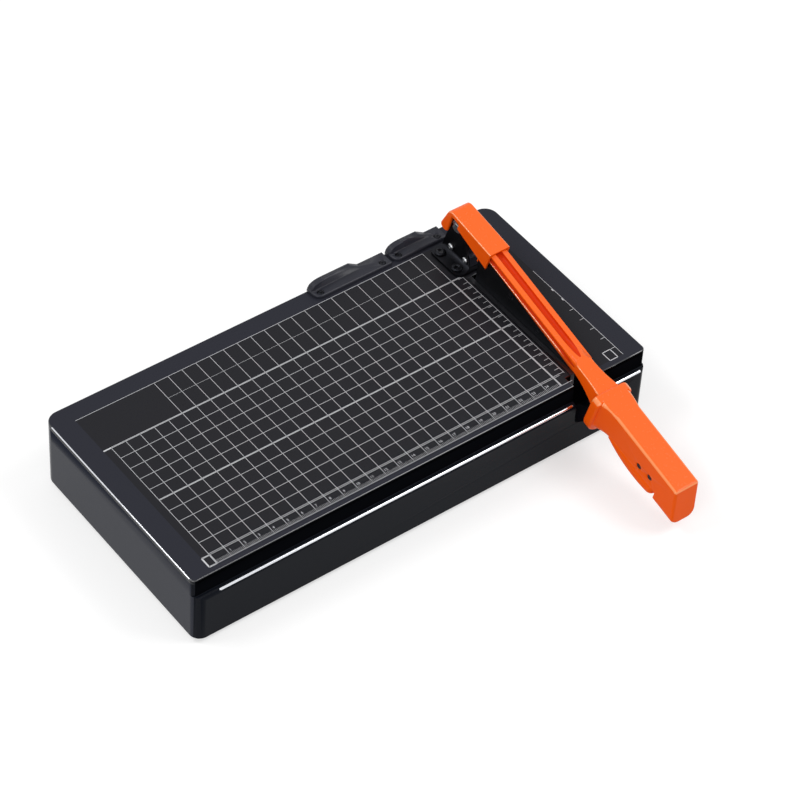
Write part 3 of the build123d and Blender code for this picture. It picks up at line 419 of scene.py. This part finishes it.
def finished(node_name, material):
    """Merged and smooth-shaded copy of a solid, which is shown in its place."""
    source = only(frame["nodes"][node_name])
    bpy.ops.object.duplicate()
    copy = bpy.context.view_layer.objects.active
    copy.name = "finished_" + node_name
    del copy["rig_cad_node"]
    bpy.ops.object.mode_set(mode="EDIT")
    bpy.ops.mesh.select_all(action="SELECT")
    bpy.ops.mesh.remove_doubles(threshold=MERGE_DISTANCE)
    bpy.ops.object.mode_set(mode="OBJECT")
    bpy.ops.object.shade_smooth_by_angle(angle=SMOOTH_ANGLE)
    weighted = copy.modifiers.new("flat_faces", "WEIGHTED_NORMAL")
    weighted.keep_sharp = True
    bpy.ops.object.modifier_apply(modifier=weighted.name)
    paint(copy, material)
    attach(copy, source["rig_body"])
    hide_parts(node_name)
    return copy


def face_finish(piece, material, wanted):
    """Gives one more finish to the faces that a test picks."""
    piece.data.materials.append(material)
    for face in piece.data.polygons:
        if wanted(face):
            face.material_index = len(piece.data.materials) - 1


def numbered(name, count):
    return [f"{name}_{i}" for i in range(1, count + 1)]


class CUTTER_OT_case(bpy.types.Operator):
    """Moulded base, bottom cover and paper stops"""

    bl_idname = "cutter.case"
    bl_label = "Case and paper stops"

    def execute(self, context):
        shell = finished("base_shell", black_abs())
        behind_lip = SHELL_LOW.y + LIP_RADIUS
        # Painted shade on the set-back faces of the front step.
        face_finish(shell, dull_abs(), lambda face: (
            face.normal.y < -SQUARE_ON and face.center.y > behind_lip))
        # Painted reflection on both end walls.
        face_finish(shell, end_abs(), lambda face: (
            abs(face.normal.x) > SQUARE_ON and face.center.x * face.normal.x > 0))
        finished("bottom_cover", black_abs())
        for node_name in ("left_paper_stop", "right_paper_stop"):
            finished(node_name, grey_black_abs())
        return {"FINISHED"}


def strip(name, start, end, radius):
    """Round-ended bright strip between two points, a painted highlight, which rides on the base."""
    run = end - start
    bpy.ops.object.select_all(action="DESELECT")
    bpy.ops.mesh.primitive_cylinder_add(
        vertices=STRIP_SIDES, radius=radius, depth=run.length, location=(start + end) / 2,
        rotation=run.to_track_quat("Z", "Y").to_euler())
    piece = bpy.context.view_layer.objects.active
    piece.name = name
    bpy.ops.object.transform_apply(location=True, rotation=True, scale=True)
    ends = piece.modifiers.new("round_ends", "BEVEL")
    ends.width = radius * STRIP_END
    ends.segments = STRIP_END_STEPS
    ends.limit_method = "ANGLE"
    ends.angle_limit = STRIP_END_ANGLE
    bpy.ops.object.modifier_apply(modifier=ends.name)
    bpy.ops.object.shade_smooth_by_angle(angle=SMOOTH_ANGLE)
    paint(piece, bright_trim())
    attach(piece, "base")


class CUTTER_OT_trim(bpy.types.Operator):
    """Painted highlights: bright strips along the lip of the front step and the left edge of the
    table
    """

    bl_idname = "cutter.trim"
    bl_label = "Bright trim"

    def execute(self, context):
        sizes = context.scene.cutter_sizes
        reach = LIP_RADIUS - sizes.trim * HIGHLIGHT_STRIP_SUNK
        y = SHELL_LOW.y + LIP_RADIUS - reach * cos(HIGHLIGHT_STRIP_TILT)
        z = TABLE_TOP - STEP_DROP - LIP_RADIUS + reach * sin(HIGHLIGHT_STRIP_TILT)
        strip("front_painted_highlight", Vector((PLATE_LOW.x + sizes.trim_left, y, z)),
              Vector((FIXED_BLADE_LOW.x - sizes.trim_right, y, z)), sizes.trim)
        strip("right_front_painted_highlight", Vector((FIXED_BLADE_LOW.x + sizes.trim_past, y, z)),
              Vector((PLATE_HIGH.x - sizes.trim_corner, y, z)), sizes.trim)
        inset = sizes.edge_trim * EDGE_HIGHLIGHT_INSET
        x, top = PLATE_LOW.x + inset, TABLE_TOP - inset
        strip("left_edge_painted_highlight", Vector((x, PLATE_LOW.y + EDGE_HIGHLIGHT_FRONT, top)),
              Vector((x, PLATE_HIGH.y - EDGE_HIGHLIGHT_REAR, top)), sizes.edge_trim)
        return {"FINISHED"}


def ink_line(low, high, count=1, step=(0, 0)):
    """Printed line from its low corner to its high corner, repeated at a step."""
    sizes = bpy.context.scene.cutter_sizes
    bpy.ops.object.select_all(action="DESELECT")
    middle = ((low[0] + high[0]) / 2, (low[1] + high[1]) / 2, TABLE_TOP)
    bpy.ops.mesh.primitive_plane_add(size=1, location=middle)
    line = bpy.context.view_layer.objects.active
    bpy.ops.transform.resize(value=(high[0] - low[0], high[1] - low[1], 1))
    bpy.ops.object.transform_apply(location=True, rotation=True, scale=True)
    bpy.ops.object.mode_set(mode="EDIT")
    bpy.ops.mesh.select_all(action="SELECT")
    bpy.ops.mesh.extrude_region_move(TRANSFORM_OT_translate={"value": (0, 0, sizes.ink)})
    bpy.ops.mesh.select_all(action="SELECT")
    bpy.ops.mesh.normals_make_consistent(inside=False)
    bpy.ops.object.mode_set(mode="OBJECT")
    if count > 1:
        row = line.modifiers.new("row", "ARRAY")
        row.count = count
        row.use_relative_offset = False
        row.use_constant_offset = True
        row.constant_offset_displace = (*step, 0)
        bpy.ops.object.modifier_apply(modifier=row.name)
    return line


def upright(x, low, high, width, count=1, step=0):
    return ink_line((x - width / 2, low), (x + width / 2, high), count, (step, 0))


def level(y, left, right, width, count=1, step=0):
    return ink_line((left, y - width / 2), (right, y + width / 2), count, (0, step))


def figure(text, x, y, height):
    """Printed number, standing on its middle."""
    sizes = bpy.context.scene.cutter_sizes
    bpy.ops.object.select_all(action="DESELECT")
    bpy.ops.object.text_add(location=(x, y, TABLE_TOP + sizes.ink / 2))
    number = bpy.context.view_layer.objects.active
    number.data.body = text
    number.data.size = height
    number.data.align_x = "CENTER"
    number.data.extrude = sizes.ink / 2
    number.data.resolution_u = 3
    bpy.ops.object.convert(target="MESH")
    bpy.ops.object.transform_apply(location=True, rotation=True, scale=True)
    return bpy.context.view_layer.objects.active


def join(name, pieces):
    """Joins pieces into one that rides on the base."""
    bpy.ops.object.select_all(action="DESELECT")
    for piece in pieces:
        piece.select_set(True)
    bpy.context.view_layer.objects.active = pieces[0]
    bpy.ops.object.join()
    joined = bpy.context.view_layer.objects.active
    bpy.ops.object.origin_set(type="ORIGIN_CURSOR")
    joined.name = name
    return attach(joined, "base")


class CUTTER_OT_table(bpy.types.Operator):
    """Table plate with its printed grid, scale and numbers"""

    bl_idname = "cutter.table"
    bl_label = "Table and print"

    def execute(self, context):
        sizes = context.scene.cutter_sizes
        plate = finished("table_plate", printed_abs())
        face_finish(plate, edge_abs(), lambda face: WALL_TILT < face.normal.z < FLAT_TILT)
        # Painted shade on the table's front edge, which faces the step's recess.
        face_finish(plate, dull_abs(), lambda face: face.normal.y < -SQUARE_ON)
        face_finish(plate, black_abs(), lambda face: (
            abs(face.normal.z) < WALL_TILT and face.normal.y > -SQUARE_ON))
        left = PLATE_LOW.x + sizes.left
        rear = PLATE_HIGH.y - sizes.rear
        front = PLATE_LOW.y + sizes.front
        right = FIXED_BLADE_LOW.x - BLADE_MARGIN
        band = rear - sizes.band
        scale = front + sizes.scale
        columns = int((right - left - sizes.cut_scale) / sizes.pitch)
        rows = int((band - scale) / sizes.pitch)
        bare = int(sizes.bare / sizes.pitch)
        corner = left + bare * sizes.pitch
        last = left + columns * sizes.pitch
        frame_left = PLATE_LOW.x + sizes.side
        frame_right = PLATE_HIGH.x - sizes.side
        deck = PLATE_HIGH.y - sizes.deck
        mark = left - frame_left
        lines = [
            upright(left, scale, band, sizes.thin, columns + 1, sizes.pitch),
            upright(corner, band, rear, sizes.thin, columns + 1 - bare, sizes.pitch),
            upright(left, front, scale, sizes.thin, columns + 1, sizes.pitch),
            level(band, left, right, sizes.thin, rows + 1, -sizes.pitch),
            level(rear, frame_left, last, sizes.thin),
            level((rear + band) / 2, corner, last, sizes.thin / 2),
            level(scale, frame_left, right, sizes.thin),
            level(front, frame_left, right, sizes.thin),
            level(band, frame_left, right, sizes.bold),
            level(band - BOLD_ROW * sizes.pitch, left, right, sizes.bold),
            upright(last, front, band, sizes.bold),
            upright(frame_left, front, scale, sizes.bold, 2, mark),
            level(front, frame_left, left, sizes.bold, 2, sizes.scale),
        ]
        front_tick = front + sizes.scale * FRONT_TICK
        cut_tick = right - sizes.cut_scale * CUT_TICK
        deck_tick = frame_right - sizes.cut_scale * DECK_TICK
        mark_left = frame_right - sizes.pitch
        mark_right = mark_left + sizes.pitch * DECK_MARK
        ticks = [
            upright(left, front, front_tick, sizes.thin / 2, columns * 10 + 1, sizes.pitch / 10),
            level(scale, cut_tick, right, sizes.thin, rows * 2 + 1, sizes.pitch / 2),
            upright(right, scale, band, sizes.thin),
            upright(frame_right, front, deck, sizes.thin),
            level(deck - 2 * sizes.pitch, frame_right - sizes.bold, frame_right, sizes.bold * 2, 2,
                  -sizes.pitch),
            level(scale, deck_tick, frame_right, sizes.thin, DECK_TICKS, sizes.pitch),
            upright(mark_left, front, scale, sizes.thin * 2, 2, mark_right - mark_left),
            level(front, mark_left, mark_right, sizes.thin * 2, 2, sizes.scale),
        ]
        shift = sizes.figure * FIGURE_SHIFT
        figures = [
            figure(str(i), left + i * sizes.pitch + shift, front + sizes.scale * FIGURE_RISE,
                   sizes.figure)
            for i in range(1, columns)
        ]
        prints = (("grid_print", lines), ("scale_ticks", ticks), ("scale_figures", figures))
        for name, pieces in prints:
            paint(join(name, pieces), white_ink())
        return {"FINISHED"}


class CUTTER_OT_blades(bpy.types.Operator):
    """Fixed and moving blades"""

    bl_idname = "cutter.blades"
    bl_label = "Blades"

    def execute(self, context):
        finished("fixed_blade", ground_steel())
        finished("moving_blade", dark_steel())
        return {"FINISHED"}


class CUTTER_OT_hinge(bpy.types.Operator):
    """Hinge bracket, pin, clip, washers and bush"""

    bl_idname = "cutter.hinge"
    bl_label = "Hinge"

    def execute(self, context):
        finished("hinge_bracket", dark_steel())
        finished("hinge_block", grey_black_abs())
        for node_name in ("hinge_pin", "pin_clip", "spring_washer"):
            finished(node_name, plated_steel())
        for node_name in ("left_thrust_washer", "right_thrust_washer"):
            finished(node_name, nylon())
        finished("hinge_bush", bronze())
        return {"FINISHED"}


def above_pin(face):
    """Place of a face on the closed arm: across from its middle, and square to the bar."""
    offset = face.center - HINGE_PIN
    return abs(offset.x), offset.dot(ARM_UP)


def in_groove(face):
    """Whether a face lies in one of the grooves along the top and the sides of the bar."""
    across, rise = above_pin(face)
    top_groove = (across < TOP_GROOVE_HALF
                  and GROOVE_RIM < BAR_TOP - rise < TOP_GROOVE_DEPTH + GROOVE_RIM)
    side_groove = (abs(rise - SIDE_GROOVE_RISE) < SIDE_GROOVE_HALF
                   and GROOVE_RIM < BAR_HALF - across < SIDE_GROOVE_DEPTH + GROOVE_RIM)
    return face.center.y > SHELL_LOW.y and (top_groove or side_groove)


def on_edge(face):
    """Whether a face is part of a rounded upper edge, along the arm or at the end of the handle."""
    turn_low, turn_high = ARM_EDGE_TURN
    rise_low, rise_high = HANDLE_END_RISE
    along = face.normal.z > ARM_EDGE_RISE and turn_low < abs(face.normal.x) < turn_high
    handle_end = (rise_low < face.normal.z < rise_high
                  and face.center.y < CAD_BOX[0].y + HANDLE_END)
    return (along or handle_end) and not in_groove(face)


class CUTTER_OT_arm(bpy.types.Operator):
    """Arm, hinge cover and grip"""

    bl_idname = "cutter.arm"
    bl_label = "Arm"

    def execute(self, context):
        for node_name in ("blade_arm", "hinge_cover", "handle_grip"):
            piece = finished(node_name, orange_abs())
            # Painted light on the upper faces, painted highlight on the rounded edges, and painted
            # shade in the grooves of the bar.
            face_finish(piece, orange_top(), lambda face: face.normal.z > ARM_TOP_TILT)
            face_finish(piece, orange_edge(), on_edge)
            if node_name == "blade_arm":
                face_finish(piece, orange_groove(), in_groove)
        return {"FINISHED"}


def cross_punch():
    """Tapered cross that cuts the recess of a screw one millimetre in radius."""
    bpy.ops.object.select_all(action="DESELECT")
    bpy.ops.mesh.primitive_cube_add(size=1, location=(0, 0, 0))
    punch = bpy.context.view_layer.objects.active
    punch.name = "cross_punch"
    bpy.ops.transform.resize(value=(CROSS_CORE, CROSS_CORE, CROSS_LENGTH))
    bpy.ops.object.transform_apply(location=True, rotation=True, scale=True)
    bpy.ops.object.mode_set(mode="EDIT")
    bpy.ops.mesh.select_all(action="DESELECT")
    bpy.ops.object.mode_set(mode="OBJECT")
    for face in punch.data.polygons:
        face.select = abs(face.normal.z) < 0.5
    bpy.ops.object.mode_set(mode="EDIT")
    bpy.ops.mesh.select_mode(type="FACE")
    bpy.ops.mesh.extrude_faces_move(TRANSFORM_OT_shrink_fatten={"value": CROSS_WING})
    bpy.ops.mesh.select_mode(type="VERT")
    bpy.ops.mesh.select_all(action="DESELECT")
    bpy.ops.object.mode_set(mode="OBJECT")
    for corner in punch.data.vertices:
        corner.select = corner.co.z < 0
    bpy.ops.object.mode_set(mode="EDIT")
    bpy.ops.transform.resize(value=(CROSS_TAPER, CROSS_TAPER, 1), center_override=(0, 0, 0))
    bpy.ops.mesh.select_all(action="SELECT")
    bpy.ops.mesh.normals_make_consistent(inside=False)
    bpy.ops.object.mode_set(mode="OBJECT")
    return punch


def recess(screw, punch, axis):
    """Cuts the cross into a screw's head, which is at the end where the screw is widest."""
    low = Vector(map(min, *(v.co for v in screw.data.vertices)))
    high = Vector(map(max, *(v.co for v in screw.data.vertices)))
    middle = (low + high) / 2
    across, along = [i for i in range(3) if i != axis]
    radius = (high[across] - low[across]) / 2
    rim = [v.co[axis] for v in screw.data.vertices
           if hypot(v.co[across] - middle[across], v.co[along] - middle[along]) > radius * HEAD_RIM]
    outward = 1 if sum(rim) / len(rim) > middle[axis] else -1
    direction = Vector([outward if i == axis else 0 for i in range(3)])
    face = middle.copy()
    face[axis] = high[axis] if outward > 0 else low[axis]
    scale = radius / MM * CROSS_FILL
    turn = direction.to_track_quat("Z", "Y").to_matrix().to_4x4()
    punch.matrix_world = Matrix.Translation(face) @ turn @ Matrix.Diagonal((scale, scale, scale, 1))
    only(screw)
    cut = screw.modifiers.new("cross", "BOOLEAN")
    cut.object = punch
    cut.operation = "DIFFERENCE"
    cut.solver = "EXACT"
    bpy.ops.object.modifier_apply(modifier=cut.name)
    bpy.ops.object.shade_smooth_by_angle(angle=SMOOTH_ANGLE)


class CUTTER_OT_screws(bpy.types.Operator):
    """Cross-head screws of the base and the arm"""

    bl_idname = "cutter.screws"
    bl_label = "Screws"

    def execute(self, context):
        punch = cross_punch()
        bright, dark = (plated_steel(), "plated_steel"), (dark_steel(), "dark_steel")
        groups = (("fixed_blade_screw", 4, 0, bright), ("moving_blade_screw", 4, 0, dark),
                  ("paper_stop_screw", 4, 2, dark), ("bottom_cover_screw", 6, 2, bright),
                  ("hinge_bracket_screw", 4, 2, dark), ("hinge_block_screw", 2, 0, bright),
                  ("hinge_cover_screw", 2, 0, dark), ("handle_screw", 2, 0, dark))
        for name, count, axis, (material, slot_name) in groups:
            for node_name in numbered(name, count):
                recess(finished(node_name, material), punch, axis)
        bpy.data.objects.remove(punch)
        return {"FINISHED"}


class CUTTER_OT_rubber(bpy.types.Operator):
    """Rubber feet and buffer"""

    bl_idname = "cutter.rubber"
    bl_label = "Rubber parts"

    def execute(self, context):
        for node_name in numbered("rubber_foot", 4) + ["stop_buffer"]:
            finished(node_name, rubber())
        return {"FINISHED"}


# Studio: strengths of the room's light as it falls on things and as it is seen, and soft lights
# as name, place, width, height and watts
ROOM_LIGHT = 0.5
ROOM_SEEN = 1.0
FLOOR_WIDTH = 12
FLOOR_DROP = 0.05 * MM
FLOOR_LIFT = 0.52
LIT_POINT = Vector((0, 0.04, 0.03))
SOFT_LIGHTS = (
    ("key_light", Vector((1.0, -0.75, 1.6)), 0.9, 0.8, 13),
    ("fill_light", Vector((-1.3, -0.7, 1.0)), 0.8, 0.8, 7),
    ("edge_light", Vector((-0.9, 0.7, 1.6)), 0.9, 0.3, 9),
)

# Camera fitted to the photograph
AZIMUTH = radians(-39.448)
ELEVATION = radians(45.656)
ROLL = radians(3.733)
CAMERA_PLACE = Vector((-0.8715, -1.0618, 1.4821))
FOCAL_PIXELS = 3366.5
IMAGE_PIXELS = 800
SENSOR_WIDTH = 36


def seen_directly(tree):
    """One for rays from the camera and for those that mirrors and glass pass on, else zero."""
    path = add_node(tree, "ShaderNodeLightPath")
    seen = add_node(tree, "ShaderNodeMath", {
        0: path.outputs["Is Camera Ray"], 1: path.outputs["Is Glossy Ray"]}, operation="MAXIMUM")
    passed = add_node(tree, "ShaderNodeMath", {
        0: seen.outputs["Value"], 1: path.outputs["Is Transmission Ray"]}, operation="MAXIMUM")
    return passed.outputs["Value"]


def studio_world():
    world = bpy.data.worlds.new("studio")
    bpy.context.scene.world = world
    world.use_nodes = True
    tree = world.node_tree
    tree.nodes.clear()
    strength = add_node(tree, "ShaderNodeMapRange", {
        "Value": seen_directly(tree), "To Min": ROOM_LIGHT, "To Max": ROOM_SEEN})
    light = add_node(tree, "ShaderNodeBackground", {
        "Color": (1, 1, 1, 1), "Strength": strength.outputs["Result"]})
    add_node(tree, "ShaderNodeOutputWorld", {"Surface": light.outputs["Background"]})


def studio_floor():
    bpy.ops.object.select_all(action="DESELECT")
    bpy.ops.mesh.primitive_plane_add(size=FLOOR_WIDTH, location=(0, 0, -FLOOR_DROP))
    floor = bpy.context.view_layer.objects.active
    floor.name = "studio_floor"
    material = bpy.data.materials.new("studio_floor")
    material.use_nodes = True
    tree = material.node_tree
    tree.nodes.clear()
    matt = add_node(tree, "ShaderNodeBsdfDiffuse", {"Color": (*colours().floor, 1)})
    lift = add_node(tree, "ShaderNodeMapRange", {
        "Value": seen_directly(tree), "To Min": 0.0, "To Max": FLOOR_LIFT})
    glow = add_node(tree, "ShaderNodeEmission", {
        "Color": (1, 1, 1, 1), "Strength": lift.outputs["Result"]})
    both = add_node(tree, "ShaderNodeAddShader", {
        0: matt.outputs["BSDF"], 1: glow.outputs["Emission"]})
    add_node(tree, "ShaderNodeOutputMaterial", {"Surface": both.outputs["Shader"]})
    paint(floor, material)


def soft_box(name, place, width, height, watts):
    """Oblong soft light that faces the cutter."""
    bpy.ops.object.select_all(action="DESELECT")
    bpy.ops.object.light_add(type="AREA", location=place)
    light = bpy.context.view_layer.objects.active
    light.name = name
    light.data.shape = "RECTANGLE"
    light.data.size = width
    light.data.size_y = height
    light.data.energy = watts
    light.rotation_euler = (LIT_POINT - place).to_track_quat("-Z", "Y").to_euler()


class CUTTER_OT_stage(bpy.types.Operator):
    """Studio floor, lights and camera"""

    bl_idname = "cutter.stage"
    bl_label = "Studio"

    def execute(self, context):
        studio_world()
        studio_floor()
        for soft_light in SOFT_LIGHTS:
            soft_box(*soft_light)
        back = Vector((sin(AZIMUTH) * cos(ELEVATION), -cos(AZIMUTH) * cos(ELEVATION),
                       sin(ELEVATION)))
        across = (-back).cross(Vector((0, 0, 1))).normalized()
        up = across.cross(-back)
        right = cos(ROLL) * across + sin(ROLL) * up
        top = -sin(ROLL) * across + cos(ROLL) * up
        bpy.ops.object.select_all(action="DESELECT")
        bpy.ops.object.camera_add(location=CAMERA_PLACE)
        camera = bpy.context.view_layer.objects.active
        camera.name = "photo_camera"
        camera.rotation_euler = Matrix((right, top, back)).transposed().to_euler()
        camera.data.sensor_width = SENSOR_WIDTH
        camera.data.lens = FOCAL_PIXELS / IMAGE_PIXELS * SENSOR_WIDTH
        context.scene.camera = camera
        context.scene.view_settings.view_transform = "Standard"
        return {"FINISHED"}


OPERATORS = (CUTTER_OT_case, CUTTER_OT_trim, CUTTER_OT_table, CUTTER_OT_blades, CUTTER_OT_hinge,
             CUTTER_OT_arm, CUTTER_OT_screws, CUTTER_OT_rubber, CUTTER_OT_stage)


class CUTTER_PT_panel(bpy.types.Panel):
    """Lists the pieces of the cutter"""

    bl_idname = "CUTTER_PT_panel"
    bl_label = "Paper Cutter"
    bl_space_type = "VIEW_3D"
    bl_region_type = "UI"
    bl_category = "Paper Cutter"

    def draw(self, context):
        for operator in OPERATORS:
            self.layout.operator(operator.bl_idname)
        for settings in (context.scene.cutter_colours, context.scene.cutter_sizes):
            for name in settings.bl_rna.properties.keys():
                if name not in ("rna_type", "name"):
                    self.layout.prop(settings, name)


CLASSES = (CutterColours, CutterSizes, *OPERATORS, CUTTER_PT_panel)


def register():
    for cls in CLASSES:
        bpy.utils.register_class(cls)
    bpy.types.Scene.cutter_colours = bpy.props.PointerProperty(type=CutterColours)
    bpy.types.Scene.cutter_sizes = bpy.props.PointerProperty(type=CutterSizes)


def unregister():
    del bpy.types.Scene.cutter_sizes
    del bpy.types.Scene.cutter_colours
    for cls in reversed(CLASSES):
        bpy.utils.unregister_class(cls)


def main():
    register()
    for operator in OPERATORS:
        group, name = operator.bl_idname.split(".")
        getattr(getattr(bpy.ops, group), name)()


if __name__ == "__main__":
    main()
